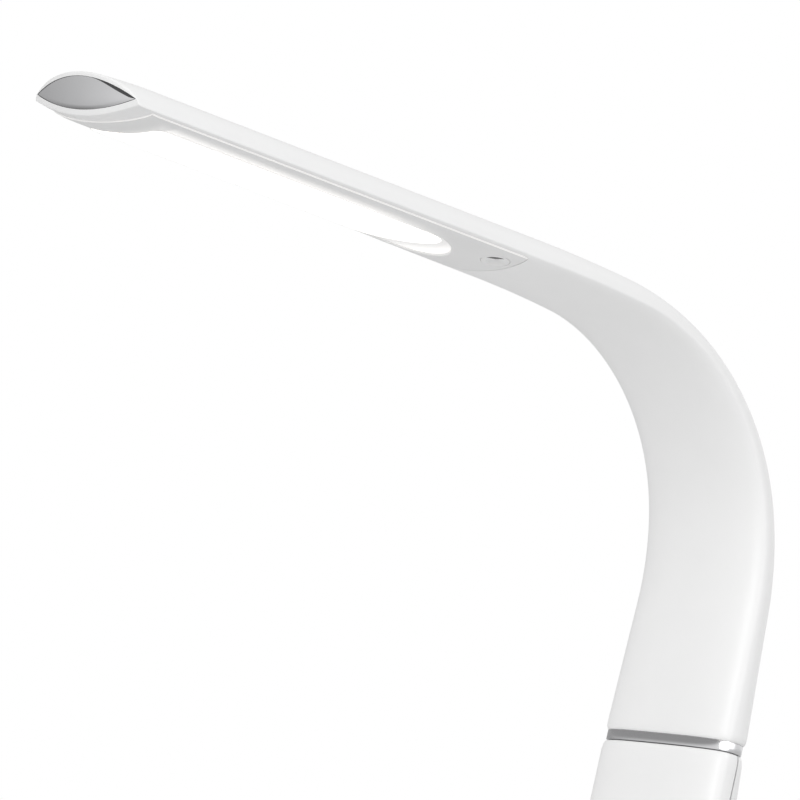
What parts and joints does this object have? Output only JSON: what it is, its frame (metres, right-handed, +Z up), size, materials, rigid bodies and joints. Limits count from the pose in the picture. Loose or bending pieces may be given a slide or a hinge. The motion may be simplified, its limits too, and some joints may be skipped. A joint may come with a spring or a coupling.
{
  "type": "folding desk lamp",
  "caption": "Desk lamp with a weighted oval base, a stem that folds and swivels, and a curved neck that widens into a straight lit head.",
  "frame": {"origin": "centre of the sole's underside, on the desk", "axes": "+Z up, the head points towards -Y, +X is the lamp's left as it faces the user"},
  "size_m": [0.13, 0.2949, 0.3867],
  "materials": {
    "white_plastic": "satin white, fine moulded surface",
    "panel_plastic": "satin, slightly greyer white",
    "button_plastic": "satin grey-white",
    "chrome_trim": "brushed satin chrome",
    "diffuser_plastic": "opal",
    "tray_plastic": "reflective white",
    "circuit_board": "solder mask",
    "light_board": "white solder mask",
    "light_chip": "phosphor",
    "spreader_metal": "plain",
    "steel": "zinc plated",
    "frame_metal": "as cast",
    "washer_brass": "plain",
    "bush_plastic": "plain",
    "cast_ballast": "as cast",
    "sole_rubber": "fine grain",
    "black_plastic": "plain",
    "wire_jacket": "plain"
  },
  "bodies": {
    "base": {"antislip_pad": "sole_rubber", "base_plate": "steel", "base_cover": "white_plastic", "cover_posts": "white_plastic", "ballast_weight": "cast_ballast", "base_screws": "steel", "control_board": "circuit_board", "dc_inlet": "black_plastic", "hinge_bracket": "steel", "hinge_pin": "steel", "hinge_washers": "washer_brass", "hinge_nut": "steel", "hinge_cheeks": "white_plastic"},
    "stem": {"stem_front_shell": "white_plastic", "stem_back_cover": "white_plastic", "stem_frame": "frame_metal", "hinge_barrel": "white_plastic", "swivel_socket": "bush_plastic", "stem_screws": "steel", "stem_wire": "wire_jacket"},
    "arm": {"swivel_ring": "chrome_trim", "swivel_spindle": "frame_metal", "swivel_clip": "steel", "arm_shell": "white_plastic", "nose_inlay": "chrome_trim", "head_panel": "panel_plastic", "diffuser": "diffuser_plastic", "reflector_tray": "tray_plastic", "led_board": "light_board", "led_chips": "light_chip", "heat_spreader": "spreader_metal", "switch_board": "circuit_board", "arm_wire": "wire_jacket"},
    "button": {"power_button": "button_plastic"}
  },
  "joints": [
    {"name": "stem_fold", "type": "hinge", "parent": "base", "child": "stem", "pos_m": [0, 0.055, 0.024], "axis": [1, 0, 0], "range_deg": [-8, 55]},
    {"name": "arm_swivel", "type": "hinge", "parent": "stem", "child": "arm", "pos_m": [0, 0.08375, 0.14059], "axis": [0, 0.2756, 0.9613], "range_deg": [-90, 90]},
    {"name": "button_press", "type": "slide", "parent": "arm", "child": "button", "axis": [-0.2258, 0.301, 0.9265], "range_m": [0, 0.0005], "stiffness_N_per_m": 600, "springref_m": -0.001}
  ]
}
